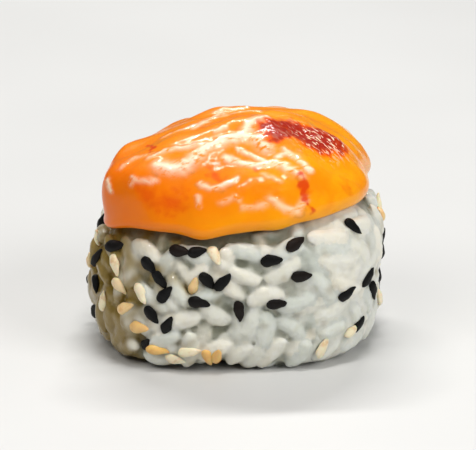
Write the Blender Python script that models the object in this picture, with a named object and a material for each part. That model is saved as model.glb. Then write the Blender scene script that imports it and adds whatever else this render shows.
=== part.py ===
"""One uramaki piece, standing on its cut end: a squared barrel of rice rolled in
black and white sesame, under a thick cap of melted cheese.

Metres, +Z up, the origin at the middle of the base, -Y the side that faces the viewer.
"""

import math
import random

import bmesh
import bpy
from mathutils import Matrix, Vector
from mathutils.bvhtree import BVHTree

MM = 0.001

# The roll: half widths of the rice under its grains, and its heights.
HALF_WIDTH = 21.2 * MM
HALF_DEPTH = 19.8 * MM
RICE_TOP = 25.5 * MM
WAIST = 9.5 * MM
BASE_ROUND = 0.9 * MM  # how much of the rounded bottom the board has pressed flat
OUTLINE_POWER = 2.7  # 2 is an ellipse, and more is squarer
SQUARER = 0.7  # what is added to it at the top
ROUND_WITHIN = 0.7  # nearer the middle than this share of the width, it goes round again
TOP_POWER = 3.4
BASE_POWER = 4.6
LEAN = 0.14  # to the right, for each unit of height over the waist
CORE_SEGMENTS = 36
CORE_RINGS = 16

# The cheese: its thickness at the middle and at the rim.
TOP_THICK = 9.0 * MM
RIM_THICK = 2.1 * MM
THICK_POWER = 2.0
SLUMP = 3.4 * MM  # how much of it has run off the back left shoulder
SLUMP_ANGLE = 2.1
LEFT_THIN = 1.6 * MM  # how much thinner its edge is at its left end
LEFT_FULL = 1.4 * MM  # and how much thicker it is above that edge
LEFT_ANGLE = -2.95  # where that is, and how far round it fades
LEFT_FADE = 0.6
THIN_SHARE = (0.96, 0.08)  # of the way from the top to the rim: its middle and width
FULL_SHARE = (0.79, 0.10)
RIM_HEIGHT = 21.2 * MM
RIM_REACH = 27 * MM  # from the middle of the top to the rim, along the rice
GAP = 0.3 * MM  # between the cheese and the rice
CAP_SEGMENTS = 60
CAP_RINGS = 32

# The folds of its melted skin, in millimetres seen from above: from, to, width, height.
FOLDS = (
    ((-12.0, -11.5), (3.6, -4.6), 2.3, 0.85),
    ((3.6, -4.6), (12.0, -13.4), 2.3, 0.85),
    ((-13.0, -2.0), (1.0, 4.5), 2.2, 0.55),
    ((-6.0, 10.5), (9.0, 8.0), 2.4, 0.50),
    ((6.5, 1.0), (15.0, -4.0), 2.2, 0.45),
    ((-6.0, -14.5), (4.0, -11.0), 2.6, -0.50),
    ((-3.0, -1.0), (8.0, 4.5), 2.6, -0.40),
)

# What the rice is made of and rolled in: length, width, thickness.
GRAIN = (5.8 * MM, 2.8 * MM, 2.3 * MM)
SESAME = (3.3 * MM, 1.9 * MM, 1.1 * MM)
LOW_GRAIN = 1.2 * MM  # the lowest middle of a grain
ROW_GRAINS = 20  # under the cheese's edge
GRAIN_SINK = 0.3 * MM
SEED_SINK = 0.35 * MM
GRAIN_SPACE = 2.3 * MM
FILL_SPACE = 1.95 * MM
SEED_SPACE = 2.4 * MM
OTHER_SEEDS = 72  # at the sides and back
OTHER_FIRST = math.radians(-52)
OTHER_LAST = math.radians(228)
KEPT_SHARE = 0.66  # of the faces, once they are joined
SPREAD = 20261

# The front view that the spots below are read on: where its eye is, how far it looks down,
# and its middle and focal length in pixels.
EYE = Vector((12.4 * MM, -606.0 * MM, 199.1 * MM))
LOOKS_DOWN = math.radians(17)
VIEW_MIDDLE = (238, 225)
VIEW_FOCAL = 1704
# They are read on an enlargement of it: the pixel at its corner, and how many times.
SPOT_CORNER = (125, 150)
SPOT_SCALE = 9.5
SEED_RISE = 0.7 * MM  # how far over the bare rice a seed is seen
EDGE_ON = 0.05  # rice that is turned further from the eye than this isn't seen

# The seeds that show best at the front: across and down on the enlargement, and turn.
FRONT_BLACK = (
    (290, 715, 20),
    (430, 795, -50),
    (557, 715, -8),
    (625, 722, 12),
    (655, 855, -50),
    (716, 855, 45),
    (900, 772, 5),
    (997, 705, 32),
    (1015, 833, 0),
    (625, 938, -10),
    (490, 905, 50),
    (782, 975, -82),
    (925, 940, 0),
    (445, 985, -45),
)
FRONT_WHITE = (
    (605, 872, 72),
    (312, 875, -50),
    (466, 1122, -12),
    (662, 1152, -75),
)


def power_radius(angle, power):
    """Distance from the middle of a unit superellipse to its edge at this angle."""
    across = abs(math.cos(angle)) ** power
    up = abs(math.sin(angle)) ** power
    return (across + up) ** (-1.0 / power)


def lump(angle, height):
    """The low swells that squeezing by hand leaves in the rice."""
    slow = 0.34 * MM * math.sin(3 * angle + 0.7) * math.cos(height / (8 * MM))
    quick = 0.22 * MM * math.sin(5 * angle - height / (6 * MM))
    return slow + quick


def core_point(angle, latitude):
    """A point on the bare rice: angle round the roll, latitude from the base to the top."""
    upper = latitude >= 0
    reach = power_radius(latitude, TOP_POWER if upper else BASE_POWER)
    rise = RICE_TOP - WAIST if upper else WAIST + BASE_ROUND
    height = WAIST + rise * reach * math.sin(latitude)
    girth = reach * math.cos(latitude)
    power = OUTLINE_POWER + SQUARER * max(0.0, math.sin(latitude))
    power = 2 + (power - 2) * min(1.0, girth / ROUND_WITHIN)
    outline = power_radius(angle, power) * girth
    swell = lump(angle, height) * girth
    x = (HALF_WIDTH * outline + swell) * math.cos(angle)
    y = (HALF_DEPTH * outline + swell) * math.sin(angle)
    return Vector((x + LEAN * max(0.0, height - WAIST), y, height))


def core_normal(angle, latitude):
    """The outward direction of the bare rice there."""
    step = 0.01
    if math.cos(latitude) < step:
        return Vector((0, 0, math.copysign(1, latitude)))
    round_it = core_point(angle + step, latitude) - core_point(angle - step, latitude)
    upward = core_point(angle, latitude + step) - core_point(angle, latitude - step)
    return round_it.cross(upward).normalized()


def latitude_at(height):
    """The latitude of the bare rice's surface at a height."""
    upper = height >= WAIST
    power = TOP_POWER if upper else BASE_POWER
    rise = RICE_TOP - WAIST if upper else WAIST + BASE_ROUND
    up = (height - WAIST) / rise
    out = max(0.0, 1 - abs(up) ** power) ** (1 / power)
    return math.atan2(up, out)


def bump(angle, middle, width):
    """1 at the middle angle, fading to 0 at either side of it."""
    off = (angle - middle + math.pi) % (2 * math.pi) - math.pi
    return math.exp(-((off / width) ** 2))


def rim_height(angle):
    """The height of the cheese's lower edge, which runs down further in places."""
    wave = 0.9 * math.cos(angle + 0.35) + 0.65 * math.cos(2 * angle)
    wave += 0.3 * math.sin(5 * angle + 1.9) + 0.2 * math.sin(9 * angle)
    drip = 1.5 * bump(angle, 2.45, 0.22) + 1.1 * bump(angle, 0.75, 0.16)
    drip += 0.8 * bump(angle, -1.86, 0.14) + 2.1 * bump(angle, -2.63, 0.22)
    drip += 0.5 * bump(angle, -1.30, 0.12) - bump(angle, -0.82, 0.25)
    drip -= 0.6 * bump(angle, math.pi, 0.25)
    return RIM_HEIGHT + (wave - drip) * MM


def ridge(x, y, start, end, width):
    """1 on the line from start to end, fading to 0 beside it."""
    along_x = end[0] - start[0]
    along_y = end[1] - start[1]
    share = (x - start[0]) * along_x + (y - start[1]) * along_y
    share = min(1.0, max(0.0, share / (along_x**2 + along_y**2)))
    off_x = x - start[0] - share * along_x
    off_y = y - start[1] - share * along_y
    return math.exp(-(off_x**2 + off_y**2) / width**2)


def wrinkle(point):
    """How far the melted skin stands out at a place: folds that run across the top."""
    x = point.x / MM
    y = point.y / MM
    raised = 0.0
    height = 0.0
    for start, end, width, tall in FOLDS:
        share = ridge(x, y, start, end, width)
        if tall > 0:
            raised += (tall * share) ** 3
        else:
            height += tall * share
    height += raised ** (1 / 3)
    height += 0.22 * math.sin(0.62 * x - 0.9 * y) * math.sin(0.33 * x + 0.45 * y + 1.0)
    return height * MM


def cap_point(angle, turn):
    """A point on the cheese. Turn runs from 90 degrees, the middle of its top, through 0 at
    its rim to -90, the middle of its underside, which lies on the rice."""
    share = math.cos(turn)
    top = math.pi / 2
    latitude = top - share * (top - latitude_at(rim_height(angle)))
    thick = RIM_THICK + (TOP_THICK - RIM_THICK) * (1 - share**THICK_POWER)
    slump = max(0.0, math.cos(angle - SLUMP_ANGLE)) ** 2 * 4 * share**2 * (1 - share)
    edge = LEFT_THIN * math.exp(-(((share - THIN_SHARE[0]) / THIN_SHARE[1]) ** 2))
    above = LEFT_FULL * math.exp(-(((share - FULL_SHARE[0]) / FULL_SHARE[1]) ** 2))
    thick += (above - edge) * bump(angle, LEFT_ANGLE, LEFT_FADE) - SLUMP * slump
    base = core_point(angle, latitude)
    outwards = core_normal(angle, latitude)
    from_rim = (1 - share) * RIM_REACH
    half = thick / 2
    bulge = half
    if from_rim < half:
        bulge = half * math.sqrt(1 - (1 - from_rim / half) ** 2)
    if turn <= 0:
        return base + outwards * (GAP + half - bulge)
    fold = wrinkle(base) * min(1.0, from_rim / (2 * MM))
    return base + outwards * (GAP + half + bulge + fold)


def material(name, colour, roughness):
    made = bpy.data.materials.new(name)
    made.use_nodes = True
    shader = made.node_tree.nodes["Principled BSDF"]
    shader.inputs["Base Color"].default_value = (*colour, 1.0)
    shader.inputs["Roughness"].default_value = roughness
    made.diffuse_color = (*colour, 1.0)
    return made


def new_collection(name):
    made = bpy.data.collections.new(name)
    bpy.context.scene.collection.children.link(made)
    return made


def add_object(name, mesh, collection):
    obj = bpy.data.objects.new(name, mesh)
    collection.objects.link(obj)
    return obj


def ball_mesh(name, segments, rings, place):
    """A closed mesh from a ball, each of whose points goes where place(angle, latitude) says."""
    made = bmesh.new()
    bmesh.ops.create_uvsphere(made, u_segments=segments, v_segments=rings, radius=1.0)
    for vertex in made.verts:
        angle = math.atan2(vertex.co.y, vertex.co.x)
        latitude = math.asin(max(-1.0, min(1.0, vertex.co.z)))
        vertex.co = place(angle, latitude)
    bmesh.ops.recalc_face_normals(made, faces=made.faces)
    mesh = bpy.data.meshes.new(name)
    made.to_mesh(mesh)
    made.free()
    return mesh


def grain_point(angle, latitude):
    """A cooked grain of rice: blunt ends, and a little bent."""
    along = math.sin(latitude)
    around = math.cos(latitude) ** 0.75
    y = around * math.cos(angle) * GRAIN[1] / 2 + 0.35 * MM * (along**2 - 0.4)
    return Vector((along * GRAIN[0] / 2, y, around * math.sin(angle) * GRAIN[2] / 2))


def sesame_point(angle, latitude):
    """A sesame seed: flat, round at one end and pointed at the other."""
    along = math.sin(latitude)
    around = math.cos(latitude) * (1 - 0.38 * along)
    y = around * math.cos(angle) * SESAME[1] / 2
    return Vector((along * SESAME[0] / 2, y, around * math.sin(angle) * SESAME[2] / 2))


def seat(angle, height, turn, sink):
    """The matrix that lays a grain's X along the surface, turned, and its Z outwards."""
    latitude = latitude_at(height)
    outwards = core_normal(angle, latitude)
    level = Vector((0, 0, 1)).cross(outwards).normalized()
    rising = outwards.cross(level)
    along = level * math.cos(turn) + rising * math.sin(turn)
    across = outwards.cross(along)
    axes = Matrix((along, across, outwards)).transposed().to_4x4()
    middle = core_point(angle, latitude) - outwards * sink
    return Matrix.Translation(middle) @ axes


def samples_along(matrix, length):
    """Three points along a grain, for telling how near two of them lie."""
    return [matrix @ Vector((share * length / 2, 0, 0)) for share in (-0.62, 0.0, 0.62)]


def nearest(samples, others):
    """The least distance between a grain's points and those of the grains laid before."""
    found = 1.0
    for other in others:
        if (other[1] - samples[1]).length > 2 * GRAIN[0]:
            continue
        for a in samples:
            for b in other:
                found = min(found, (a - b).length)
    return found


def clear_of_cheese(angle, height, turn, size):
    """Whether a grain laid there stays under the cheese's edge."""
    outwards = core_normal(angle, latitude_at(height))
    steep = math.hypot(outwards.x, outwards.y)
    half_height = math.hypot(size[0] / 2 * math.sin(turn), size[1] / 2 * math.cos(turn))
    half_width = size[0] / 2 * abs(math.cos(turn)) / HALF_WIDTH
    lowest = min(rim_height(angle + half_width * k / 2) for k in (-2, -1, 0, 1, 2))
    return height + half_height * steep < lowest - 1.5 * GAP


def under_rim(angle, height, turn, size):
    """That height, or the nearest below it at which a grain is clear of the cheese."""
    while not clear_of_cheese(angle, height, turn, size):
        height -= 0.2 * MM
    return height


def lay(angle, height, turn, size, sink, space, taken):
    """The matrix of a grain laid there, or None where it would be too near another."""
    matrix = seat(angle, height, turn, sink)
    samples = samples_along(matrix, size[0])
    if nearest(samples, taken) < space:
        return None
    taken.append(samples)
    return matrix


def row_of_grains(draw, taken):
    """The grains that lie along the cheese's edge, under it."""
    laid = []
    for number in range(ROW_GRAINS):
        angle = (number + draw.uniform(-0.2, 0.2)) * 2 * math.pi / ROW_GRAINS
        turn = draw.uniform(-0.6, 0.6)
        height = under_rim(angle, RIM_HEIGHT + 2 * MM, turn, GRAIN)
        laid.append(lay(angle, height, turn, GRAIN, GRAIN_SINK, GRAIN_SPACE, taken))
    return [matrix for matrix in laid if matrix]


def scatter(draw, tries, size, space, sink, taken, first=-math.pi, last=math.pi):
    """Lays pieces at random on the side of the rice, between two angles."""
    laid = []
    for _ in range(tries):
        angle = draw.uniform(first, last)
        height = draw.uniform(LOW_GRAIN, RIM_HEIGHT + 2 * MM)
        turn = draw.uniform(-math.pi / 2, math.pi / 2)
        depth = sink * draw.uniform(0.6, 1.4)
        if clear_of_cheese(angle, height, turn, size):
            laid.append(lay(angle, height, turn, size, depth, space, taken))
    return [matrix for matrix in laid if matrix]


def tree_of(objects):
    """What rays are cast against: the faces of these objects together."""
    points = []
    faces = []
    for obj in objects:
        first = len(points)
        points += [obj.matrix_world @ vertex.co for vertex in obj.data.vertices]
        faces += [[first + i for i in face.vertices] for face in obj.data.polygons]
    return BVHTree.FromPolygons(points, faces)


def lie_on(matrix, tree):
    """Moves a seed in from above until it lies on what is under its two ends."""
    outwards = matrix.to_3x3().col[2].copy()
    ends = []
    for share in (-0.3, 0.3):
        start = matrix @ Vector((share * SESAME[0], 0, 4 * MM))
        hit = tree.ray_cast(start, -outwards, 8 * MM)[0]
        ends.append(hit or start - outwards * 4 * MM)
    middle = (ends[0] + ends[1]) / 2 + outwards * (SESAME[2] / 2 - SEED_SINK)
    along = (ends[1] - ends[0]).normalized()
    across = outwards.cross(along).normalized()
    turned = Matrix((along, across, along.cross(across))).transposed().to_4x4()
    return Matrix.Translation(middle) @ turned


def seen_at(point):
    """The pixel of the front view at which a point is seen."""
    away = point - EYE
    level = math.cos(LOOKS_DOWN)
    steep = math.sin(LOOKS_DOWN)
    depth = away.y * level - away.z * steep
    rise = away.y * steep + away.z * level
    across = VIEW_MIDDLE[0] + VIEW_FOCAL * away.x / depth
    return across, VIEW_MIDDLE[1] - VIEW_FOCAL * rise / depth


def rice_in_view():
    """Places all over the front of the rice: angle, height, and the pixel where it is seen."""
    ahead = Vector((0, math.cos(LOOKS_DOWN), -math.sin(LOOKS_DOWN)))
    places = []
    for degrees in range(-190, 12):
        for tenths in range(2, 240, 2):
            angle = math.radians(degrees)
            height = tenths / 10 * MM
            latitude = latitude_at(height)
            outwards = core_normal(angle, latitude)
            if outwards.dot(ahead) > EDGE_ON:
                continue
            pixel = seen_at(core_point(angle, latitude) + outwards * SEED_RISE)
            places.append((angle, height, *pixel))
    return places


def front_seeds(spots, places):
    """The seeds of the two tables, each where the rice is seen at its spot."""
    laid = []
    for across, down, slant in spots:
        x = SPOT_CORNER[0] + across / SPOT_SCALE
        y = SPOT_CORNER[1] + down / SPOT_SCALE
        found = min(places, key=lambda place: (place[2] - x) ** 2 + (place[3] - y) ** 2)
        angle, height = found[:2]
        turn = math.radians(slant)
        clear = under_rim(angle, height, turn, SESAME)
        laid.append(seat(angle, clear, turn, 0.0))
    return laid


def place_all(name, mesh, matrices, collection):
    for number, matrix in enumerate(matrices):
        add_object(f"{name}_{number:03d}", mesh, collection).matrix_world = matrix


def boolean(obj, operation, solver, operand):
    """Adds a Boolean modifier. Operand is an object or a collection."""
    modifier = obj.modifiers.new(operation.lower(), "BOOLEAN")
    modifier.operation = operation
    modifier.solver = solver
    if isinstance(operand, bpy.types.Collection):
        modifier.operand_type = "COLLECTION"
        modifier.collection = operand
    else:
        modifier.object = operand


def apply_modifiers(obj):
    bpy.context.view_layer.update()
    graph = bpy.context.evaluated_depsgraph_get()
    obj.data = bpy.data.meshes.new_from_object(obj.evaluated_get(graph))
    obj.modifiers.clear()


def remove_collection(collection):
    for obj in list(collection.objects):
        bpy.data.objects.remove(obj)
    bpy.data.collections.remove(collection)


def keep_outer_shell(obj):
    """Drops loose scraps, and fills the hollows that fusing has sealed."""
    made = bmesh.new()
    made.from_mesh(obj.data)
    bmesh.ops.triangulate(made, faces=made.faces)
    left = set(made.faces)
    shells = []
    while left:
        shell = {left.pop()}
        edge = list(shell)
        while edge:
            face = edge.pop()
            for other in [f for e in face.edges for f in e.link_faces]:
                if other in left:
                    left.remove(other)
                    shell.add(other)
                    edge.append(other)
        shells.append(shell)
    shells.sort(key=len)
    for shell in shells[:-1]:
        bmesh.ops.delete(made, geom=list(shell), context="FACES")
    made.to_mesh(obj.data)
    made.free()


def cut_base(obj):
    """Cuts off what lies under the board."""
    cutters = new_collection("cutters")
    made = bmesh.new()
    bmesh.ops.create_cube(made, size=1.0)
    mesh = bpy.data.meshes.new("board")
    made.to_mesh(mesh)
    made.free()
    board = add_object("board", mesh, cutters)
    board.scale = (0.1, 0.1, 0.02)
    board.location = (0, 0, -0.01)
    board.hide_render = True
    board.display_type = "WIRE"
    boolean(obj, "DIFFERENCE", "MANIFOLD", board)
    apply_modifiers(obj)
    remove_collection(cutters)


def build_rice(collection):
    """The rice with its grains and seeds fused on, cut flat where it stands."""
    mesh = ball_mesh("rice", CORE_SEGMENTS, CORE_RINGS, core_point)
    core = add_object("rice", mesh, collection)
    grains = new_collection("grains")
    draw = random.Random(SPREAD)
    taken = []
    rice = row_of_grains(draw, taken)
    rice += scatter(draw, 6000, GRAIN, GRAIN_SPACE, GRAIN_SINK, taken)
    rice += scatter(draw, 3000, GRAIN, FILL_SPACE, 2 * GRAIN_SINK, taken)
    place_all("grain", ball_mesh("grain", 6, 4, grain_point), rice, grains)
    tree = tree_of([core, *grains.objects])
    seeds = front_seeds(FRONT_BLACK + FRONT_WHITE, rice_in_view())
    others = scatter(draw, 3000, SESAME, SEED_SPACE, 0.0, [], OTHER_FIRST, OTHER_LAST)
    seeds = [lie_on(matrix, tree) for matrix in seeds + others[:OTHER_SEEDS]]
    place_all("seed", ball_mesh("sesame", 5, 4, sesame_point), seeds, grains)
    boolean(core, "UNION", "EXACT", grains)
    apply_modifiers(core)
    remove_collection(grains)
    keep_outer_shell(core)
    thin = core.modifiers.new("thin", "DECIMATE")
    thin.ratio = KEPT_SHARE
    apply_modifiers(core)
    cut_base(core)
    keep_outer_shell(core)
    core.data.materials.clear()
    core.data.materials.append(material("sushi_rice", (0.80, 0.79, 0.72), 0.45))
    core.data.shade_flat()


def build_cap(collection):
    """The melted cheese, a ball's mesh pressed over the top of the rice."""
    mesh = ball_mesh("cheese_cap", CAP_SEGMENTS, CAP_RINGS, cap_point)
    cap = add_object("cheese_cap", mesh, collection)
    cap.data.materials.append(material("melted_cheese", (0.90, 0.30, 0.01), 0.25))
    cap.data.shade_smooth()


def main():
    for obj in list(bpy.data.objects):
        bpy.data.objects.remove(obj)
    collection = new_collection("uramaki")
    build_rice(collection)
    build_cap(collection)


main()
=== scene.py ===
"""The looks of one uramaki piece: fused rice, black and toasted sesame, melted cheese.

Metres, +Z up, the origin at the middle of the base, -Y the side that faces the viewer.
"""

import math
import random

import bmesh
import bpy
import numpy as np
from mathutils import Matrix, Vector, noise
from mathutils.bvhtree import BVHTree
from mathutils.kdtree import KDTree


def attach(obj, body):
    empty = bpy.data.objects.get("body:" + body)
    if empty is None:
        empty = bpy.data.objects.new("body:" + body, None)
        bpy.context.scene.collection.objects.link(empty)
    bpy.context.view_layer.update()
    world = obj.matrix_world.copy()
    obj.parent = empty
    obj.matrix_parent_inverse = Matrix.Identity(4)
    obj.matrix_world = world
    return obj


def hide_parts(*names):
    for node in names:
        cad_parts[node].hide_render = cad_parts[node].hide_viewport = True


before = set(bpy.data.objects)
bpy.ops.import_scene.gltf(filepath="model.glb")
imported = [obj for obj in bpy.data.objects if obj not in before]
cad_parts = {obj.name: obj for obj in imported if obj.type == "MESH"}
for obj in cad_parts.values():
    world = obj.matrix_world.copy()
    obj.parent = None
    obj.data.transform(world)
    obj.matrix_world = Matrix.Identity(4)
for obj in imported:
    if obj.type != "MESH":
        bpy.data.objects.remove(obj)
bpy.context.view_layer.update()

MM = 0.001

# The roll, as the solids have it: half widths of the rice under its grains, and its heights.
HALF_WIDTH = 21.2 * MM
HALF_DEPTH = 19.8 * MM
RICE_TOP = 25.5 * MM
WAIST = 9.5 * MM
BASE_ROUND = 0.9 * MM
OUTLINE_POWER = 2.7
SQUARER = 0.7
ROUND_WITHIN = 0.7
TOP_POWER = 3.4
BASE_POWER = 4.6
LEAN = 0.14

# The cheese, as the solid has it.
TOP_THICK = 9.0 * MM
RIM_THICK = 2.1 * MM
THICK_POWER = 2.0
SLUMP = 3.4 * MM
SLUMP_ANGLE = 2.1
LEFT_THIN = 1.6 * MM  # how much thinner its edge is at its left end
LEFT_FULL = 1.4 * MM  # and how much thicker it is above that edge
LEFT_ANGLE = -2.95  # where that is, and how far round it fades
LEFT_FADE = 0.6
THIN_SHARE = (0.96, 0.08)  # of the way from the top to the rim: its middle and width
FULL_SHARE = (0.79, 0.10)
RIM_HEIGHT = 21.2 * MM
RIM_REACH = 27 * MM
GAP = 0.3 * MM
FOLDS = (
    ((-12.0, -11.5), (3.6, -4.6), 2.3, 0.85),
    ((3.6, -4.6), (12.0, -13.4), 2.3, 0.85),
    ((-13.0, -2.0), (1.0, 4.5), 2.2, 0.55),
    ((-6.0, 10.5), (9.0, 8.0), 2.4, 0.50),
    ((6.5, 1.0), (15.0, -4.0), 2.2, 0.45),
    ((-6.0, -14.5), (4.0, -11.0), 2.6, -0.50),
    ((-3.0, -1.0), (8.0, 4.5), 2.6, -0.40),
)

# The front view that spots are read on: where its eye is, how far it looks down, and its
# middle and focal length in pixels.
EYE = Vector((12.4 * MM, -606.0 * MM, 199.1 * MM))
LOOKS_DOWN = math.radians(17)
VIEW_MIDDLE = (238, 225)
VIEW_FOCAL = 1704
AHEAD = Vector((0, math.cos(LOOKS_DOWN), -math.sin(LOOKS_DOWN)))
UPRIGHT = Vector((0, math.sin(LOOKS_DOWN), math.cos(LOOKS_DOWN)))
# The enlargements of it: the pixel across and down at their corner, and how many times.
SEEDS_VIEW = (125, 150, 9.5)
CAP_VIEW = (150, 158, 12.544)
CAP_WIDER = (150.297, 164.145, 7.4026)

# The fine creases of its skin. Width and height in millimetres, strength of the painted
# highlight on it, and a line of spots read on CAP_VIEW, and below it those read on CAP_WIDER.
CREASES = (
    (0.95, 0.40, 1.0, ((300, 440), (360, 455), (430, 450), (500, 390), (560, 340),
                       (640, 305), (720, 290), (790, 300), (850, 350))),
    (0.45, 0.22, 0.7, ((250, 400), (330, 365), (450, 345), (560, 325))),
    (0.75, 0.32, 1.0, ((720, 280), (770, 220), (820, 195), (850, 190))),
    (0.40, 0.18, 0.8, ((745, 250), (800, 205), (860, 215))),
    (0.60, 0.28, 0.9, ((640, 400), (720, 430), (800, 440), (890, 420), (960, 450),
                       (1030, 490))),
    (0.40, 0.20, 0.9, ((700, 350), (760, 380), (850, 420), (910, 440))),
    (0.40, 0.20, 0.9, ((900, 390), (960, 370), (1020, 410), (1070, 460))),
    (0.35, 0.18, 0.8, ((930, 350), (990, 390), (1040, 440))),
    (0.40, 0.20, 0.7, ((510, 530), (560, 555), (620, 550), (690, 510))),
    (0.35, 0.16, 0.6, ((500, 590), (505, 640))),
    (0.45, 0.20, 0.4, ((620, 625), (680, 600), (710, 615))),
    (0.45, 0.20, 0.4, ((730, 650), (790, 650), (840, 635))),
    (0.55, 0.24, 0.6, ((870, 605), (910, 630), (950, 655), (1010, 670), (1045, 610))),
    (0.40, 0.18, 0.6, ((470, 240), (560, 200), (640, 185))),
    (0.45, 0.20, 0.6, ((590, 165), (690, 130), (800, 128))),
    (0.40, 0.16, 0.4, ((160, 530), (260, 510))),
    (0.45, 0.18, 0.4, ((110, 450), (180, 400), (260, 380))),
    (0.35, 0.14, 0.4, ((830, 480), (920, 520))),
)
CREASES_WIDER = (
    (0.40, 0.22, 0.95, ((24, 258), (22, 272), (32, 288))),
    (0.35, 0.16, 0.6, ((95, 250), (140, 262), (168, 257))),
    (0.40, 0.18, 0.6, ((190, 128), (250, 104), (320, 78))),
    (0.40, 0.18, 0.8, ((280, 102), (325, 76), (352, 58))),
    (0.40, 0.18, 0.7, ((352, 48), (400, 42), (440, 36))),
    (0.50, 0.20, 0.9, ((350, 108), (372, 96))),
)
# Where the torch has caught it: reach in millimetres, strength, and middle on CAP_VIEW.
SCORCHES = (
    (2.9, 1.0, (900, 250)),
    (3.2, 0.95, (982, 255)),
    (4.0, 1.0, (1095, 302)),
    (3.4, 0.85, (1178, 315)),
)
# Smaller red flecks and smears: reach, strength and a line, on the same two enlargements.
FLECKS = (
    (1.5, 0.6, ((570, 475), (622, 500))),
    (1.0, 0.95, ((1030, 488), (1045, 545), (1040, 590))),
    (0.6, 0.8, ((1055, 622), (1082, 668))),
    (1.3, 0.45, ((1252, 512), (1270, 562))),
    (1.5, 0.45, ((382, 570), (440, 592))),
    (0.7, 0.5, ((790, 450), (848, 455))),
)
FLECKS_WIDER = (
    (0.6, 0.95, ((147, 150), (152, 170))),
    (2.6, 0.52, ((130, 300), (225, 335))),
)

GRAIN = (5.8 * MM, 2.8 * MM, 2.3 * MM)
SESAME = (3.3 * MM, 1.9 * MM, 1.1 * MM)
SLIMMER = 0.86
SEED_DENT = 0.16 * MM
LOW_GRAIN = 1.2 * MM
ROW_GRAINS = 20
GRAIN_SINK = 0.3 * MM
SEED_SINK = 0.35 * MM
GRAIN_SPACE = 2.3 * MM
FILL_SPACE = 1.95 * MM
SEED_SPACE = 2.4 * MM
OTHER_SEEDS = 72
OTHER_FIRST = math.radians(-52)
OTHER_LAST = math.radians(228)
SPREAD = 20261

SEED_RISE = 0.7 * MM  # how far over the bare rice a seed is seen
EDGE_ON = 0.05  # rice that is turned further from the eye than this isn't seen

# The seeds that show at the front: across and down on SEEDS_VIEW, and turn in degrees.
FRONT_BLACK = (
    (290, 715, 20), (430, 795, -50), (557, 715, -8), (625, 722, 12), (655, 855, -50),
    (716, 855, 45), (900, 772, 5), (997, 705, 32), (1015, 833, 0), (625, 938, -10),
    (490, 905, 50), (782, 975, -82), (925, 940, 0), (445, 985, -45), (472, 848, -50),
    (502, 1020, 60), (415, 1105, 60), (218, 865, -60), (1330, 600, -60), (1275, 835, 60),
    (1240, 1012, 60), (1335, 725, 80), (222, 760, 60), (1195, 898, 50), (1290, 885, -70),
)
FRONT_WHITE = (
    (605, 872, 72), (312, 875, -50), (466, 1122, -12), (296, 795, -70), (402, 905, -60),
    (1100, 1108, 70), (340, 955, 30), (392, 1035, 5), (1215, 1040, 30), (250, 930, 80),
)
# Those among them that are given one by one: number, angle in degrees, height in millimetres
# and turn.
SET_BLACK = (
    (18, -172, 18.4, 70),
    (19, -168, 4.8, 45),
    (22, -43, 21.4, -60),
    (28, -5, 10.4, 70),
)
SET_WHITE = (
    (3, -99.5, 2.9, -75),
    (4, -96.0, 3.2, 78),
    (6, -160, 17.0, 60),
    (8, -112, 2.4, -5),
    (9, -106, 3.8, 10),
    (10, -165, 13.0, 60),
    (14, -100, 19.0, -60),
)

# Grains at the front that stand out most: angle, height, turn, slant, and how far out.
PROUD_GRAINS = (
    (-95, 17.2, 90, 50, 1.6),
    (-97, 15.4, 70, 40, 1.2),
    (-108, 15.2, 20, 20, 1.0),
    (-84, 18.2, 10, 15, 0.9),
    (-112, 17.2, 100, 35, 0.9),
)

VOXEL = 0.29 * MM  # as fine as stays under 200,000 triangles
SLANTED_GRAINS = 260


def power_radius(angle, power):
    """Distance from the middle of a unit superellipse to its edge at this angle."""
    across = abs(math.cos(angle)) ** power
    up = abs(math.sin(angle)) ** power
    return (across + up) ** (-1.0 / power)


def lump(angle, height):
    """The low swells that squeezing by hand leaves in the rice."""
    slow = 0.34 * MM * math.sin(3 * angle + 0.7) * math.cos(height / (8 * MM))
    quick = 0.22 * MM * math.sin(5 * angle - height / (6 * MM))
    return slow + quick


def core_point(angle, latitude):
    """A point on the bare rice: angle round the roll, latitude from the base to the top."""
    upper = latitude >= 0
    reach = power_radius(latitude, TOP_POWER if upper else BASE_POWER)
    rise = RICE_TOP - WAIST if upper else WAIST + BASE_ROUND
    height = WAIST + rise * reach * math.sin(latitude)
    girth = reach * math.cos(latitude)
    power = OUTLINE_POWER + SQUARER * max(0.0, math.sin(latitude))
    power = 2 + (power - 2) * min(1.0, girth / ROUND_WITHIN)
    outline = power_radius(angle, power) * girth
    swell = lump(angle, height) * girth
    x = (HALF_WIDTH * outline + swell) * math.cos(angle)
    y = (HALF_DEPTH * outline + swell) * math.sin(angle)
    return Vector((x + LEAN * max(0.0, height - WAIST), y, height))


def core_normal(angle, latitude):
    """The outward direction of the bare rice there."""
    step = 0.01
    if math.cos(latitude) < step:
        return Vector((0, 0, math.copysign(1, latitude)))
    round_it = core_point(angle + step, latitude) - core_point(angle - step, latitude)
    upward = core_point(angle, latitude + step) - core_point(angle, latitude - step)
    return round_it.cross(upward).normalized()


def latitude_at(height):
    """The latitude of the bare rice's surface at a height."""
    upper = height >= WAIST
    power = TOP_POWER if upper else BASE_POWER
    rise = RICE_TOP - WAIST if upper else WAIST + BASE_ROUND
    up = (height - WAIST) / rise
    out = max(0.0, 1 - abs(up) ** power) ** (1 / power)
    return math.atan2(up, out)


def bump(angle, middle, width):
    """1 at the middle angle, fading to 0 at either side of it."""
    off = (angle - middle + math.pi) % (2 * math.pi) - math.pi
    return math.exp(-((off / width) ** 2))


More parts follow.
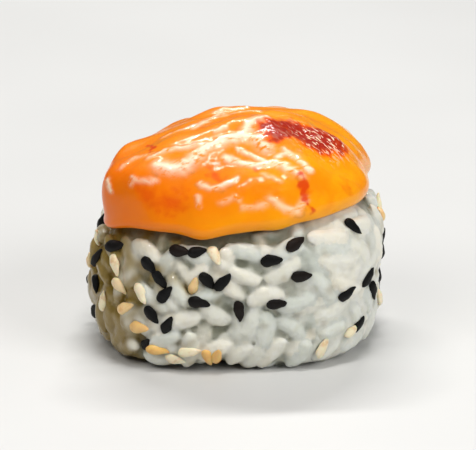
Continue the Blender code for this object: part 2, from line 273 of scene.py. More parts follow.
def rim_height(angle):
    """The height of the cheese's lower edge, which runs down further in places."""
    wave = 0.9 * math.cos(angle + 0.35) + 0.65 * math.cos(2 * angle)
    wave += 0.3 * math.sin(5 * angle + 1.9) + 0.2 * math.sin(9 * angle)
    drip = 1.5 * bump(angle, 2.45, 0.22) + 1.1 * bump(angle, 0.75, 0.16)
    drip += 0.8 * bump(angle, -1.86, 0.14) + 2.1 * bump(angle, -2.63, 0.22)
    drip += 0.5 * bump(angle, -1.30, 0.12) - bump(angle, -0.82, 0.25)
    drip -= 0.6 * bump(angle, math.pi, 0.25)
    return RIM_HEIGHT + (wave - drip) * MM


def ridge(x, y, start, end, width):
    """1 on the line from start to end, fading to 0 beside it."""
    along_x = end[0] - start[0]
    along_y = end[1] - start[1]
    share = (x - start[0]) * along_x + (y - start[1]) * along_y
    share = min(1.0, max(0.0, share / (along_x**2 + along_y**2)))
    off_x = x - start[0] - share * along_x
    off_y = y - start[1] - share * along_y
    return math.exp(-(off_x**2 + off_y**2) / width**2)


def wrinkle(point):
    """How far the melted skin stands out at a place: folds that run across the top."""
    x = point.x / MM
    y = point.y / MM
    raised = 0.0
    height = 0.0
    for start, end, width, tall in FOLDS:
        share = ridge(x, y, start, end, width)
        if tall > 0:
            raised += (tall * share) ** 3
        else:
            height += tall * share
    height += raised ** (1 / 3)
    height += 0.22 * math.sin(0.62 * x - 0.9 * y) * math.sin(0.33 * x + 0.45 * y + 1.0)
    return height * MM


def cap_place(angle, turn):
    """A point on the cheese and its outward direction. Turn runs from 90 degrees, the
    middle of its top, through 0 at its rim to -90, the middle of its underside."""
    share = math.cos(turn)
    top = math.pi / 2
    latitude = top - share * (top - latitude_at(rim_height(angle)))
    thick = RIM_THICK + (TOP_THICK - RIM_THICK) * (1 - share**THICK_POWER)
    slump = max(0.0, math.cos(angle - SLUMP_ANGLE)) ** 2 * 4 * share**2 * (1 - share)
    edge = LEFT_THIN * math.exp(-(((share - THIN_SHARE[0]) / THIN_SHARE[1]) ** 2))
    above = LEFT_FULL * math.exp(-(((share - FULL_SHARE[0]) / FULL_SHARE[1]) ** 2))
    thick += (above - edge) * bump(angle, LEFT_ANGLE, LEFT_FADE) - SLUMP * slump
    base = core_point(angle, latitude)
    outwards = core_normal(angle, latitude)
    from_rim = (1 - share) * RIM_REACH
    half = thick / 2
    bulge = half
    if from_rim < half:
        bulge = half * math.sqrt(1 - (1 - from_rim / half) ** 2)
    if turn <= 0:
        return base + outwards * (GAP + half - bulge), outwards, 0.0
    fade = min(1.0, from_rim / (2 * MM))
    return base + outwards * (GAP + half + bulge + wrinkle(base) * fade), outwards, fade


def mesh_of(name, points, faces):
    mesh = bpy.data.meshes.new(name)
    mesh.from_pydata([tuple(p) for p in points], [], faces)
    mesh.update()
    mesh.shade_smooth()
    return mesh


def add_object(name, mesh):
    obj = bpy.data.objects.new(name, mesh)
    bpy.context.scene.collection.objects.link(obj)
    return obj


def above_floor(matrix, form):
    """The same place, raised where a point of the form would reach the floor."""
    lowest = min((matrix @ p).z for p in form[0])
    return Matrix.Translation((0, 0, max(0.0, 1.5 * SEED_DENT - lowest))) @ matrix


def float_attribute(mesh, name, values):
    layer = mesh.attributes.new(name, "FLOAT", "POINT")
    layer.data.foreach_set("value", np.asarray(values, np.float32))


def ball(segments, latitudes, place):
    """Points and faces of a closed ball: a pole, rings at these latitudes from the top
    down, and the other pole, each point where place(angle, latitude) says."""
    points = [place(0.0, math.pi / 2)]
    for latitude in latitudes:
        for k in range(segments):
            points.append(place(2 * math.pi * k / segments, latitude))
    points.append(place(0.0, -math.pi / 2))
    faces = [(0, 1 + k, 1 + (k + 1) % segments) for k in range(segments)]
    for ring in range(len(latitudes) - 1):
        a = 1 + ring * segments
        b = a + segments
        for k in range(segments):
            after = (k + 1) % segments
            faces.append((a + k, b + k, b + after, a + after))
    last = len(points) - 1
    a = last - segments
    faces += [(a + k, last, a + (k + 1) % segments) for k in range(segments)]
    return points, faces


def even(count):
    """That many latitudes between the poles, from the top down."""
    return [math.pi / 2 - math.pi * (k + 1) / (count + 1) for k in range(count)]


def grain_point(angle, latitude):
    """A cooked grain of rice: blunt ends, and a little bent."""
    along = math.sin(latitude)
    around = math.cos(latitude) ** 0.75 if math.cos(latitude) > 0 else 0.0
    y = around * math.cos(angle) * GRAIN[1] / 2 + 0.35 * MM * (along**2 - 0.4)
    return Vector((along * GRAIN[0] / 2, y, around * math.sin(angle) * GRAIN[2] / 2))


def sesame_point(angle, latitude):
    """A sesame seed: flat, round at one end and pointed at the other, with a fine edge."""
    along = math.sin(latitude)
    around = max(0.0, math.cos(latitude)) * (1 - 0.38 * along)
    side = math.cos(angle)
    y = around * side * SESAME[1] / 2 * SLIMMER
    z = around * math.sin(angle) * SESAME[2] / 2 * (1 - 0.25 * side**4)
    return Vector((along * SESAME[0] / 2, y, z))


def seat(angle, height, turn, sink):
    """The matrix that lays a grain's X along the surface, turned, and its Z outwards."""
    latitude = latitude_at(height)
    outwards = core_normal(angle, latitude)
    level = Vector((0, 0, 1)).cross(outwards).normalized()
    rising = outwards.cross(level)
    along = level * math.cos(turn) + rising * math.sin(turn)
    across = outwards.cross(along)
    axes = Matrix((along, across, outwards)).transposed().to_4x4()
    middle = core_point(angle, latitude) - outwards * sink
    return Matrix.Translation(middle) @ axes


def samples_along(matrix, length):
    """Three points along a grain, for telling how near two of them lie."""
    return [matrix @ Vector((share * length / 2, 0, 0)) for share in (-0.62, 0.0, 0.62)]


def nearest(samples, others):
    """The least distance between a grain's points and those of the grains laid before."""
    found = 1.0
    for other in others:
        if (other[1] - samples[1]).length > 2 * GRAIN[0]:
            continue
        for a in samples:
            for b in other:
                found = min(found, (a - b).length)
    return found


def clear_of_cheese(angle, height, turn, size):
    """Whether a grain laid there stays under the cheese's edge."""
    outwards = core_normal(angle, latitude_at(height))
    steep = math.hypot(outwards.x, outwards.y)
    half_height = math.hypot(size[0] / 2 * math.sin(turn), size[1] / 2 * math.cos(turn))
    half_width = size[0] / 2 * abs(math.cos(turn)) / HALF_WIDTH
    lowest = min(rim_height(angle + half_width * k / 2) for k in (-2, -1, 0, 1, 2))
    return height + half_height * steep < lowest - 1.5 * GAP


def under_rim(angle, height, turn, size):
    """That height, or the nearest below it at which a grain is clear of the cheese."""
    while not clear_of_cheese(angle, height, turn, size):
        height -= 0.2 * MM
    return height


def lay(angle, height, turn, size, sink, space, taken):
    """The matrix of a grain laid there, or None where it would be too near another."""
    matrix = seat(angle, height, turn, sink)
    samples = samples_along(matrix, size[0])
    if nearest(samples, taken) < space:
        return None
    taken.append(samples)
    return matrix


def row_of_grains(draw, taken):
    """The grains that lie along the cheese's edge, under it."""
    laid = []
    for number in range(ROW_GRAINS):
        angle = (number + draw.uniform(-0.2, 0.2)) * 2 * math.pi / ROW_GRAINS
        turn = draw.uniform(-0.6, 0.6)
        height = under_rim(angle, RIM_HEIGHT + 2 * MM, turn, GRAIN)
        laid.append(lay(angle, height, turn, GRAIN, GRAIN_SINK, GRAIN_SPACE, taken))
    return [matrix for matrix in laid if matrix]


def scatter(draw, tries, size, space, sink, taken, first=-math.pi, last=math.pi):
    """Lays pieces at random on the side of the rice, between two angles."""
    laid = []
    for _ in range(tries):
        angle = draw.uniform(first, last)
        height = draw.uniform(LOW_GRAIN, RIM_HEIGHT + 2 * MM)
        turn = draw.uniform(-math.pi / 2, math.pi / 2)
        depth = sink * draw.uniform(0.6, 1.4)
        if clear_of_cheese(angle, height, turn, size):
            laid.append(lay(angle, height, turn, size, depth, space, taken))
    return [matrix for matrix in laid if matrix]


def lie_on(matrix, tree):
    """Moves a seed in from above until it lies on what is under its two ends."""
    outwards = matrix.to_3x3().col[2].copy()
    ends = []
    for share in (-0.3, 0.3):
        start = matrix @ Vector((share * SESAME[0], 0, 4 * MM))
        hit = tree.ray_cast(start, -outwards, 8 * MM)[0]
        ends.append(hit or start - outwards * 4 * MM)
    middle = (ends[0] + ends[1]) / 2 + outwards * (SESAME[2] / 2 - SEED_SINK)
    along = (ends[1] - ends[0]).normalized()
    across = outwards.cross(along).normalized()
    turned = Matrix((along, across, along.cross(across))).transposed().to_4x4()
    return Matrix.Translation(middle) @ turned


def pixel_of(spot, view):
    """The pixel of the front view that a spot on an enlargement of it lies on."""
    return view[0] + spot[0] / view[2], view[1] + spot[1] / view[2]


def seen_at(point):
    """The pixel of the front view at which a point is seen."""
    away = point - EYE
    depth = away.dot(AHEAD)
    across = VIEW_MIDDLE[0] + VIEW_FOCAL * away.x / depth
    return across, VIEW_MIDDLE[1] - VIEW_FOCAL * away.dot(UPRIGHT) / depth


def rice_in_view():
    """Places on the front of the rice: degrees, height in millimetres, and pixel."""
    places = []
    for degrees in range(-190, 12):
        for tenths in range(2, 240, 2):
            angle = math.radians(degrees)
            latitude = latitude_at(tenths / 10 * MM)
            outwards = core_normal(angle, latitude)
            if outwards.dot(AHEAD) > EDGE_ON:
                continue
            pixel = seen_at(core_point(angle, latitude) + outwards * SEED_RISE)
            places.append((degrees, tenths / 10, *pixel))
    return places


def front_seeds(spots, by_hand, places):
    """The seeds of one of the two tables, and those given one by one, laid on the bare rice."""
    rows = []
    for across, down, slant in spots:
        x, y = pixel_of((across, down), SEEDS_VIEW)
        found = min(places, key=lambda place: (place[2] - x) ** 2 + (place[3] - y) ** 2)
        rows.append((found[0], found[1], slant))
    for number, *row in by_hand:
        rows.insert(number, row)
    laid = []
    for degrees, height, slant in rows:
        angle = math.radians(degrees)
        turn = math.radians(slant)
        clear = under_rim(angle, height * MM, turn, SESAME)
        laid.append(seat(angle, clear, turn, 0.0))
    return laid


def joined(parts):
    """Points and faces of several (points, faces) together."""
    points = []
    faces = []
    for some, their_faces in parts:
        first = len(points)
        points += some
        faces += [tuple(first + i for i in face) for face in their_faces]
    return points, faces


def copies(form, matrices, dent=0.0):
    """The form at each of these places, dented a little, no two of them alike."""
    points, faces = form
    made = []
    for matrix in matrices:
        there = [matrix @ p for p in points]
        there = [p + noise.noise_vector(p / (0.9 * MM)) * dent for p in there]
        made.append((there, faces))
    return made


def uneven(matrices, draw, least, most):
    """The same places, with each piece a little larger or smaller, and rolled over."""
    made = []
    for matrix in matrices:
        size = Matrix.Diagonal([draw.uniform(least, most) for _ in range(3)]).to_4x4()
        roll = Matrix.Rotation(draw.choice((0.0, math.pi)), 4, "X")
        made.append(matrix @ roll @ size)
    return made


def smoothstep(low, high, value):
    share = min(1.0, max(0.0, (value - low) / (high - low)))
    return share * share * (3 - 2 * share)


def cut_at_floor(mesh):
    """Cuts off what lies under the floor, and closes the cut."""
    made = bmesh.new()
    made.from_mesh(mesh)
    geometry = [*made.verts, *made.edges, *made.faces]
    cut = bmesh.ops.bisect_plane(
        made, geom=geometry, plane_co=(0, 0, 0), plane_no=(0, 0, 1), clear_inner=True
    )
    edges = [e for e in cut["geom_cut"] if isinstance(e, bmesh.types.BMEdge)]
    bmesh.ops.triangle_fill(made, use_beauty=True, edges=edges, normal=(0, 0, -1))
    bmesh.ops.recalc_face_normals(made, faces=made.faces)
    made.to_mesh(mesh)
    made.free()


def apply_modifiers(obj):
    bpy.context.view_layer.update()
    graph = bpy.context.evaluated_depsgraph_get()
    obj.data = bpy.data.meshes.new_from_object(obj.evaluated_get(graph))
    obj.modifiers.clear()


def deep_point(angle, latitude):
    """A point under the surface that the grains are laid on."""
    return core_point(angle, latitude) - core_normal(angle, latitude) * 0.8 * MM


def proud_of(p):
    """How far a point stands over the bare rice, and the way out of it."""
    angle = math.atan2(p.y / HALF_DEPTH, (p.x - LEAN * max(0.0, p.z - WAIST)) / HALF_WIDTH)
    height = min(max(p.z, 0.3 * MM), RICE_TOP - 0.3 * MM)
    latitude = latitude_at(height)
    outwards = core_normal(angle, latitude)
    return angle, (p - core_point(angle, latitude)).dot(outwards), outwards


def build_rice():
    """The rice, its grains melted into each other, and the tree that seeds are laid on."""
    draw = random.Random(SPREAD)
    taken = []
    rice = row_of_grains(draw, taken)
    rice += scatter(draw, 6000, GRAIN, GRAIN_SPACE, GRAIN_SINK, taken)
    rice += scatter(draw, 3000, GRAIN, FILL_SPACE, 2 * GRAIN_SINK, taken)
    others = scatter(draw, 3000, SESAME, SEED_SPACE, 0.0, [], OTHER_FIRST, OTHER_LAST)
    finer = random.Random(SPREAD + 1)
    rice += scatter(finer, 7000, GRAIN, 1.45 * MM, 2.4 * GRAIN_SINK, taken)
    rice += scatter(finer, 7000, GRAIN, 1.15 * MM, 4.0 * GRAIN_SINK, taken)
    rice = uneven(rice, finer, 0.85, 1.12)
    rice += tilted_grains(finer)
    core = ball(120, even(59), deep_point)
    grain = ball(14, even(11), grain_point)
    obj = add_object("sushi_rice", mesh_of("sushi_rice", *joined([core, *copies(grain, rice)])))
    remesh = obj.modifiers.new("fuse", "REMESH")
    remesh.mode = "VOXEL"
    remesh.voxel_size = VOXEL
    soften = obj.modifiers.new("soften", "SMOOTH")
    soften.factor = 0.5
    soften.iterations = 1
    apply_modifiers(obj)
    smear(obj.data)
    cut_at_floor(obj.data)
    obj.data.shade_smooth()
    shade_rice(obj.data, rice)
    tree = BVHTree.FromPolygons(
        [v.co for v in obj.data.vertices], [tuple(f.vertices) for f in obj.data.polygons]
    )
    return obj, tree, others[:OTHER_SEEDS]


def smear(mesh):
    """Fills the clefts with starch where the rice is pressed into one mass, most at the
    right of the front, and gives all of it small dents and lumps."""
    mesh.update()
    normals = [v.normal.copy() for v in mesh.vertices]
    for vertex, normal in zip(mesh.vertices, normals):
        p = vertex.co / MM
        angle, proud, outwards = proud_of(vertex.co)
        patch = noise.noise(p * 0.22) + 0.5 * noise.noise(p * 0.6)
        share = 0.85 * bump(angle, -0.75, 0.55) + smoothstep(0.0, 0.6, patch) * 0.5
        level = (0.38 + 0.16 * noise.noise(p * 0.8)) * MM
        lift = max(0.0, level - proud) * min(0.9, share)
        if vertex.co.z < 0.2 * MM or lift > 1.6 * MM:
            lift = 0.0
        swell = 0.13 * noise.noise(p * 0.55) + 0.08 * noise.noise(p * 1.5)
        vertex.co += outwards * lift + normal * swell * MM
    mesh.update()


def tilted_grains(draw):
    """Grains that stand at a slant in the mass, so that only their ends show."""
    laid = []
    while len(laid) < SLANTED_GRAINS:
        angle = draw.uniform(-math.pi, math.pi)
        height = draw.uniform(LOW_GRAIN, RIM_HEIGHT)
        turn = draw.uniform(-math.pi, math.pi)
        slant = math.radians(draw.uniform(18, 65))
        out = draw.uniform(0.35, 0.75) * MM
        place = seat(angle, height, turn, 0.0)
        tip = Vector((math.cos(slant), 0, math.sin(slant))) * GRAIN[0] / 2
        sink = tip.z + GRAIN[2] / 2 * math.cos(slant) - out
        if clear_of_cheese(angle, height, turn, GRAIN):
            tilt = Matrix.Rotation(-slant, 4, "Y")
            laid.append(place @ Matrix.Translation((0, 0, -sink)) @ tilt)
    laid = uneven(laid, draw, 0.85, 1.05)
    for degrees, height, turn, slant, out in PROUD_GRAINS:
        place = seat(math.radians(degrees), height * MM, math.radians(turn), 0.0)
        tilt = Matrix.Rotation(-math.radians(slant), 4, "Y")
        tip = math.sin(math.radians(slant)) * GRAIN[0] / 2
        sink = tip + GRAIN[2] / 2 * math.cos(math.radians(slant)) - out * MM
        laid.append(place @ Matrix.Translation((0, 0, -sink)) @ tilt)
    return laid


def shade_rice(mesh, rice):
    """What the rice's material reads: which grain, how deep in the clefts, for painted shade in
    them, and the painted shade and warm light at its left.
    """
    near = KDTree(len(rice) * 3)
    for number, matrix in enumerate(rice):
        for k, sample in enumerate(samples_along(matrix, GRAIN[0])):
            near.insert(sample, number * 3 + k)
    near.balance()
    tint = random.Random(SPREAD + 3)
    tints = [tint.random() for _ in rice]
    # The grains that stand out most get the lightest tint: painted light, for the light they catch.
    tints[-len(PROUD_GRAINS):] = [1.0] * len(PROUD_GRAINS)
    grain = []
    painted_cleft_shade = []
    painted_left_shade_and_glow = []
    for vertex in mesh.vertices:
        p = vertex.co
        number = near.find(p)[1] // 3
        grain.append(tints[number])
        angle, proud, _ = proud_of(p)
        # Painted shade: the deeper a place lies in the clefts between the grains, the darker it is
        # painted.
        painted_cleft_shade.append(1 - smoothstep(-0.5 * MM, 0.5 * MM, proud))
        # Painted shade: the left side darkened and yellowed in patches, most low down; and near the
        # rim at the left a weaker share of it, painted for warm light thrown back by the cheese.
        patch = noise.noise(p / (4 * MM)) + 0.5 * noise.noise(p / (1.7 * MM))
        left = bump(angle, -2.68, 0.58) * (1.15 - 0.4 * p.z / RICE_TOP)
        painted_bounce_glow = 0.4 * bump(angle, -2.35, 0.45) * smoothstep(15 * MM, 21 * MM, p.z)
        painted_left_shade_and_glow.append(max(painted_bounce_glow, smoothstep(0.12, 0.75, left * 0.9 + 0.55 * patch)))
    float_attribute(mesh, "grain", grain)
    float_attribute(mesh, "painted_cleft_shade", painted_cleft_shade)
    float_attribute(mesh, "painted_left_shade_and_glow", painted_left_shade_and_glow)


def build_seeds(tree, others):
    """Two pieces: the black seeds, and the toasted ones."""
    back = [m for m in others if math.atan2(m.translation.y, m.translation.x) > 0]
    mix = random.Random(SPREAD + 4)
    places = rice_in_view()
    black = front_seeds(FRONT_BLACK, SET_BLACK, places)
    white = front_seeds(FRONT_WHITE, SET_WHITE, places)
    for matrix in back:
        (black if mix.random() < 0.62 else white).append(matrix)
    made = []
    for name, matrices in (("sesame_black", black), ("sesame_toasted", white)):
        laid = [lie_on(matrix, tree) for matrix in matrices]
        form = ball(16, even(13), sesame_point)
        laid = [above_floor(matrix, form) for matrix in uneven(laid, mix, 0.9, 1.08)]
        obj = add_object(name, mesh_of(name, *joined(copies(form, laid, SEED_DENT))))
        each = len(form[0])
        shades = [mix.random() for _ in laid]
        if name == "sesame_toasted":
            shades[2] = shades[3] = shades[4] = 1.0
            for number, matrix in enumerate(laid):
                if matrix.translation.x < -14 * MM:
                    shades[number] = 0.5 * shades[number] + 0.45
        float_attribute(obj.data, "seed", [shade for shade in shades for _ in range(each)])
        made.append(obj)
    return made


def from_line(points, line):
    """Distance of every point to a line of straight stretches, in the line's unit."""
    found = np.full(len(points), 1e9)
    for start, end in zip(line, line[1:]):
        a = np.array(start)
        along = np.array(end) - a
        share = np.clip((points - a) @ along / (along @ along), 0, 1)
        off = points - a - share[:, None] * along
        found = np.minimum(found, np.sqrt((off * off).sum(1)))
    return found


def on_cap(tree, spot, view):
    """Where the cheese is seen at a spot, in millimetres. Just past its edge, where no
    cheese is seen, this is the nearest of it."""
    x, y = pixel_of(spot, view)
    right = (x - VIEW_MIDDLE[0]) / VIEW_FOCAL
    down = (y - VIEW_MIDDLE[1]) / VIEW_FOCAL
    way = AHEAD - UPRIGHT * down
    way.x += right
    way.normalize()
    hit = tree.ray_cast(EYE, way)[0]
    if hit is None:
        hit = tree.find_nearest(EYE + way * -EYE.y / way.y)[0]
    return tuple(hit / MM)


def lines_on_cap(tree, close, wider):
    """The rows of two tables, with their spots on CAP_VIEW and on CAP_WIDER, turned into
    places on the cheese."""
    found = []
    for rows, view in ((close, CAP_VIEW), (wider, CAP_WIDER)):
        for *values, line in rows:
            found.append((*values, [on_cap(tree, spot, view) for spot in line]))
    return found


def build_cap():
    """The melted cheese: the solid's form with the fine creases of its skin."""
    upper = [math.pi / 2 * (1 - (k + 1) / 126) for k in range(126)]
    lower = [-math.pi / 2 * (k + 1) / 25 for k in range(24)]
    places = []

    def place(angle, turn):
        places.append(cap_place(angle, turn))
        return places[-1][0]

    points, faces = ball(400, upper + lower, place)
    tree = BVHTree.FromPolygons(points, faces)
    points = np.array([tuple(p) for p in points]) / MM
    outwards = np.array([tuple(p[1]) for p in places])
    fade = np.array([p[2] for p in places])
    stray = np.array([tuple(noise.noise_vector(Vector(p) / 1.1)) for p in points])
    relief = np.zeros(len(points))
    painted_highlight = np.zeros(len(points))
    painted_crease_shade = np.zeros(len(points))
    # Along each crease a raised line with a painted highlight on it, and just beside it a thin line
    # of painted shade.
    for width, height, light, line in lines_on_cap(tree, CREASES, CREASES_WIDER):
        away = from_line(points + 0.4 * stray, line)
        mask = np.exp(-((away / width) ** 2))
        # Painted shade: a thin dark line just beside each crease.
        beside = np.exp(-(((away - 1.6 * width) / 0.20) ** 2))
        painted_crease_shade = np.maximum(painted_crease_shade, light * beside)
        relief = np.maximum(relief, height * mask)
        painted_highlight = np.maximum(painted_highlight, light * mask)
    strayed = points + stray
    scorch = np.zeros(len(points))
    for reach, strength, spot in SCORCHES:
        middle = np.array(on_cap(tree, spot, CAP_VIEW))
        away = np.sqrt(((strayed - middle) ** 2).sum(1))
        scorch = np.maximum(scorch, strength * np.exp(-((away / reach) ** 3)))
    fleck = np.zeros(len(points))
    for reach, strength, line in lines_on_cap(tree, FLECKS, FLECKS_WIDER):
        mask = np.exp(-((from_line(strayed, line) / reach) ** 2))
        fleck = np.maximum(fleck, strength * mask)
    fine = np.zeros(len(points))
    blister = np.zeros(len(points))
    top = np.clip((outwards[:, 2] - 0.45) / 0.4, 0, 1)
    for k, (x, y, z) in enumerate(points):
        if fade[k] == 0:
            continue
        along = 0.87 * x + 0.42 * y
        across = -0.42 * x + 0.87 * y
        warp = noise.noise(Vector((x, y, z)) / 4.0)
        creased = noise.noise(Vector((along / 5.0, across / 1.3 + 1.2 * warp, z / 3)))
        fine[k] = (1 - abs(creased) * 2.2) ** 2 if abs(creased) < 0.45 else 0.0
        if scorch[k] > 0.05:
            blister[k] = noise.noise(Vector((x, y, z)) * 1.7) + 0.6 * noise.noise(
                Vector((x, y, z)) * 3.6
            )
    relief += 0.045 * fine * top + 0.11 * blister * scorch
    points += outwards * (relief * fade)[:, None]
    mesh = mesh_of("melted_cheese", points * MM, faces)
    # The painted highlight, weaker on the scorch, and the painted shade beside the creases, kept off
    # the highlight.
    float_attribute(mesh, "painted_highlight", painted_highlight * (1 - 0.8 * scorch))
    float_attribute(mesh, "painted_crease_shade", painted_crease_shade * (1 - painted_highlight))
    float_attribute(mesh, "scorch", scorch)
    float_attribute(mesh, "fleck", fleck)
    return add_object("melted_cheese", mesh)


def add(tree, kind, inputs=(), **settings):
    """A shader node with its settings, and its inputs: values or other nodes' outputs."""
    made = tree.nodes.new(kind)
    for name, value in settings.items():
        setattr(made, name, value)
    for name, value in dict(inputs).items():
        socket = made.inputs[name]
        if isinstance(value, bpy.types.NodeSocket):
            tree.links.new(value, socket)
        else:
            socket.default_value = value
    return made


def attribute(tree, name):
    return add(tree, "ShaderNodeAttribute", attribute_name=name).outputs["Fac"]


def texture(tree, coords, scale, detail=3.0, rough=0.55, distortion=0.0):
    """A noise of that many waves to a metre."""
    values = {
        "Vector": coords,
        "Scale": scale,
        "Detail": detail,
        "Roughness": rough,
        "Distortion": distortion,
    }
    return add(tree, "ShaderNodeTexNoise", values).outputs["Fac"]


def between(tree, value, low, high, least=0.0, most=1.0):
    """Value mapped smoothly from low..high to least..most."""
    values = {
        "Value": value,
        "From Min": low,
        "From Max": high,
        "To Min": least,
        "To Max": most,
    }
    made = add(tree, "ShaderNodeMapRange", values, interpolation_type="SMOOTHSTEP")
    return made.outputs["Result"]


def maths(tree, operation, a, b):
    made = add(tree, "ShaderNodeMath", operation=operation)
    for socket, value in zip(made.inputs, (a, b)):
        if isinstance(value, bpy.types.NodeSocket):
            tree.links.new(value, socket)
        else:
            socket.default_value = value
    return made.outputs[0]


def mixed(tree, factor, a, b):
    """The colour a where factor is 0, and b where it is 1."""
    made = add(tree, "ShaderNodeMix", data_type="RGBA")
    for index, value in ((0, factor), (6, a), (7, b)):
        socket = made.inputs[index]
        if isinstance(value, bpy.types.NodeSocket):
            tree.links.new(value, socket)
        else:
            socket.default_value = value if index == 0 else (*value, 1.0)
    return made.outputs[2]


def bumped(tree, height, distance, strength=1.0, normal=None):
    values = {"Height": height, "Distance": distance, "Strength": strength}
    if normal is not None:
        values["Normal"] = normal
    return add(tree, "ShaderNodeBump", values).outputs["Normal"]


def new_material(name, obj):
    """An empty material on that object, with its tree, shader and object coordinates."""
    made = bpy.data.materials.new(name)
    made.use_nodes = True
    obj.data.materials.clear()
    obj.data.materials.append(made)
    tree = made.node_tree
    coords = add(tree, "ShaderNodeTexCoord").outputs["Object"]
    return tree, tree.nodes["Principled BSDF"], coords


def settle(shader, **values):
    """Sets the shader's own sockets, whose names have spaces where these have underscores."""
    for name, value in values.items():
        title = "IOR" if name == "ior" else name.replace("_", " ").title()
        shader.inputs[title.replace("Ior", "IOR")].default_value = value


def paint_rice(obj):
    tree, shader, coords = new_material("sushi_rice", obj)
    colour = mixed(tree, attribute(tree, "grain"), (0.60, 0.63, 0.575), (0.78, 0.75, 0.65))
    cloud = between(tree, texture(tree, coords, 380), 0.42, 0.66)
    colour = mixed(tree, maths(tree, "MULTIPLY", cloud, 0.35), colour, (0.76, 0.77, 0.73))
    # Painted shade in the clefts between the grains.
    painted_cleft_shade = maths(tree, "MULTIPLY", attribute(tree, "painted_cleft_shade"), 0.85)
    colour = mixed(tree, painted_cleft_shade, colour, (0.15, 0.155, 0.095))
    # Painted shade at the left, with the painted warm light near the rim.
    painted_left_shade_and_glow = maths(tree, "MULTIPLY", attribute(tree, "painted_left_shade_and_glow"), 0.93)
    colour = mixed(tree, painted_left_shade_and_glow, colour, (0.24, 0.155, 0.015))
    tree.links.new(colour, shader.inputs["Base Color"])
    settle(shader, roughness=0.36, ior=1.40, subsurface_weight=0.6, subsurface_scale=0.0010)
    shader.inputs["Subsurface Radius"].default_value = (1.0, 0.95, 0.7)
    settle(shader, coat_weight=0.4, coat_roughness=0.08)
    normal = bumped(tree, texture(tree, coords, 1300, 2.0), 0.00020, 0.55)
    normal = bumped(tree, texture(tree, coords, 4200, 2.0), 0.00007, 0.5, normal)
    tree.links.new(normal, shader.inputs["Normal"])


def paint_black(obj):
    tree, shader, coords = new_material("black_sesame", obj)
    brown = between(tree, attribute(tree, "seed"), 0.7, 1.0, 0.0, 0.4)
    colour = mixed(tree, brown, (0.004, 0.004, 0.004), (0.020, 0.010, 0.006))
    dust = between(tree, texture(tree, coords, 2600), 0.55, 0.75, 0.0, 0.25)
    colour = mixed(tree, dust, colour, (0.020, 0.020, 0.018))
    tree.links.new(colour, shader.inputs["Base Color"])
    settle(shader, roughness=0.55, ior=1.30)
    normal = bumped(tree, texture(tree, coords, 3200, 3.0), 0.00012, 0.6)
    tree.links.new(normal, shader.inputs["Normal"])


def paint_toasted(obj):
    tree, shader, coords = new_material("toasted_sesame", obj)
    toast = between(tree, attribute(tree, "seed"), 0.55, 1.15)
    colour = mixed(tree, toast, (0.84, 0.76, 0.54), (0.80, 0.45, 0.09))
    spot = between(tree, texture(tree, coords, 900), 0.5, 0.72, 0.0, 0.5)
    colour = mixed(tree, spot, colour, (0.62, 0.33, 0.09))
    tree.links.new(colour, shader.inputs["Base Color"])
    settle(shader, roughness=0.38, ior=1.45, subsurface_weight=0.35, subsurface_scale=0.0007)
    settle(shader, coat_weight=0.2, coat_roughness=0.15)
    normal = bumped(tree, texture(tree, coords, 3000, 3.0), 0.0001, 0.5)
    tree.links.new(normal, shader.inputs["Normal"])


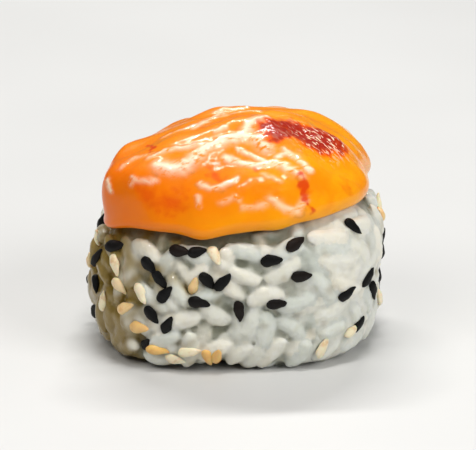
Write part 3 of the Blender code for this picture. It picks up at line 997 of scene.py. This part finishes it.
def paint_cheese(obj):
    tree, shader, coords = new_material("melted_cheese", obj)
    axes = add(tree, "ShaderNodeSeparateXYZ", {"Vector": coords})
    # Redder and darker at the left, yellower and lighter at the right, the top and the lower right:
    # partly the cheese's own tone, partly painted shade on the left and painted light on the right.
    side = between(tree, axes.outputs["X"], -0.020, 0.018)
    high = between(tree, axes.outputs["Z"], 0.0275, 0.0320, 0.0, 0.5)
    side = maths(tree, "MAXIMUM", side, high)
    colour = mixed(tree, side, (0.86, 0.165, 0.001), (0.95, 0.34, 0.002))
    patches = between(tree, texture(tree, coords, 150, 3.0, 0.5, 0.6), 0.40, 0.66)
    deeper = maths(tree, "MULTIPLY", patches, 0.5)
    colour = mixed(tree, deeper, colour, (0.86, 0.19, 0.001))
    low = between(tree, axes.outputs["Z"], 0.0275, 0.0215, 0.0, 0.6)
    low = maths(tree, "MULTIPLY", low, side)
    colour = mixed(tree, low, colour, (0.96, 0.44, 0.008))
    # Painted shade beside the creases, in broken lines.
    crease_shade_lines = between(tree, texture(tree, coords, 330, 3.0), 0.50, 0.62, 0.0, 0.6)
    crease_shade_lines = maths(tree, "MULTIPLY", crease_shade_lines, attribute(tree, "painted_crease_shade"))
    colour = mixed(tree, crease_shade_lines, colour, (0.50, 0.15, 0.003))
    # Painted highlight along the creases, near white, broken into streaks.
    painted_highlight = maths(tree, "MULTIPLY", attribute(tree, "painted_highlight"), 0.9)
    highlight_streaks = add(
        tree,
        "ShaderNodeMapping",
        {"Vector": coords, "Rotation": (0, 0, math.radians(29)), "Scale": (2.6, 0.8, 0.9)},
        vector_type="TEXTURE",
    ).outputs["Vector"]
    highlight_breaks = between(tree, texture(tree, highlight_streaks, 1100, 3.0), 0.27, 0.51)
    painted_highlight = maths(tree, "MULTIPLY", painted_highlight, highlight_breaks)
    colour = mixed(tree, painted_highlight, colour, (1.0, 0.88, 0.68))
    edge = texture(tree, coords, 420, 4.0, 0.6, 0.4)
    heat = maths(tree, "ADD", attribute(tree, "scorch"), maths(tree, "MULTIPLY", edge, 0.7))
    redder = between(tree, heat, 0.40, 0.95, 0.0, 0.9)
    colour = mixed(tree, redder, colour, (0.78, 0.075, 0.003))
    burn = between(tree, heat, 0.72, 1.20)
    colour = mixed(tree, burn, colour, (0.36, 0.016, 0.004))
    # Painted glints: fine whitish streaks over the scorch, on its right.
    glint_hatching = add(
        tree,
        "ShaderNodeMapping",
        {"Vector": coords, "Rotation": (0, 0, math.radians(-38)), "Scale": (2.8, 0.7, 1.0)},
        vector_type="TEXTURE",
    ).outputs["Vector"]
    painted_glints = between(tree, texture(tree, glint_hatching, 1500, 2.0, 0.5, 0.6), 0.54, 0.62)
    right = between(tree, axes.outputs["X"], 0.007, 0.012, 0.12, 1.0)
    painted_glints = maths(tree, "MULTIPLY", painted_glints, maths(tree, "MULTIPLY", right, attribute(tree, "scorch")))
    colour = mixed(tree, painted_glints, colour, (1.0, 0.72, 0.50))
    spot = maths(tree, "ADD", attribute(tree, "fleck"), maths(tree, "MULTIPLY", edge, 0.5))
    spot = between(tree, spot, 0.45, 1.10, 0.0, 0.9)
    colour = mixed(tree, spot, colour, (0.70, 0.045, 0.003))
    tree.links.new(colour, shader.inputs["Base Color"])
    settle(shader, roughness=0.36, specular_ior_level=0.10)
    settle(shader, subsurface_weight=0.18, subsurface_scale=0.0012)
    shader.inputs["Subsurface Radius"].default_value = (1.0, 0.38, 0.08)
    settle(shader, coat_weight=0.6, coat_roughness=0.07, coat_ior=1.36)
    normal = bumped(tree, texture(tree, coords, 260, 3.0), 0.00025, 0.4)
    normal = bumped(tree, texture(tree, coords, 1500, 3.0), 0.00005, 0.4, normal)
    tree.links.new(normal, shader.inputs["Normal"])
    tree.links.new(normal, shader.inputs["Coat Normal"])


def aim(obj, place, target):
    obj.location = place
    obj.rotation_mode = "QUATERNION"
    obj.rotation_quaternion = (Vector(target) - Vector(place)).to_track_quat("-Z", "Y")


def softbox(name, place, wide, tall, power, colour, mirrored=True):
    """An area light. One that isn't mirrored lights the piece without showing in its gloss."""
    light = bpy.data.lights.new(name, "AREA")
    light.shape = "RECTANGLE"
    light.size = wide
    light.size_y = tall
    light.energy = power
    light.color = colour
    obj = add_object(name, light)
    obj.visible_glossy = mirrored
    aim(obj, place, (0, 0, 0.02))


def build_stage():
    """A light grey floor, soft lights and the camera at the photograph's viewing angle."""
    world = bpy.data.worlds.new("studio")
    world.use_nodes = True
    back = world.node_tree.nodes["Background"]
    back.inputs["Color"].default_value = (0.86, 0.90, 1.0, 1.0)
    back.inputs["Strength"].default_value = 0.08
    bpy.context.scene.world = world
    floor = add_object("floor", mesh_of("floor", *floor_grid()))
    tree, shader, coords = new_material("pale_floor", floor)
    shade = between(tree, texture(tree, coords, 9, 2.0), 0.3, 0.7)
    colour = mixed(tree, shade, (0.62, 0.62, 0.61), (0.66, 0.66, 0.65))
    tree.links.new(colour, shader.inputs["Base Color"])
    settle(shader, roughness=0.6)
    softbox("back_box", (-0.08, 0.50, 0.74), 0.60, 0.06, 5.8, (1.0, 0.99, 0.97))
    softbox("top_box", (0.08, -0.20, 0.85), 0.28, 0.05, 2.6, (1.0, 0.99, 0.97))
    softbox("key_box", (0.50, -0.42, 0.38), 0.40, 0.40, 3.0, (1.0, 1.0, 1.0), False)
    softbox("left_box", (-0.32, -0.42, 0.58), 0.40, 0.40, 2.0, (1.0, 0.98, 0.94), False)
    camera = bpy.data.cameras.new("camera")
    camera.sensor_width = 36
    camera.lens = 318
    camera.clip_start = 0.01
    camera.clip_end = 10
    obj = add_object("camera", camera)
    aim(obj, (0.0124, -0.6060, 0.1991), (0.0006, 0, 0.0170))
    bpy.context.scene.camera = obj
    bpy.context.scene.view_settings.view_transform = "Standard"


def floor_grid():
    half = 3.0
    points = [(-half, -half, 0), (half, -half, 0), (half, half, 0), (-half, half, 0)]
    return points, [(0, 1, 2, 3)]


def main():
    noise.seed_set(SPREAD)  # or noise vectors would differ from run to run
    build_stage()
    rice, tree, others = build_rice()
    black, toasted = build_seeds(tree, others)
    cap = build_cap()
    paint_rice(rice)
    paint_black(black)
    paint_toasted(toasted)
    paint_cheese(cap)
    for obj in (rice, black, toasted, cap):
        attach(obj, "root")
    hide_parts("rice")
    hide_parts("cheese_cap")


main()
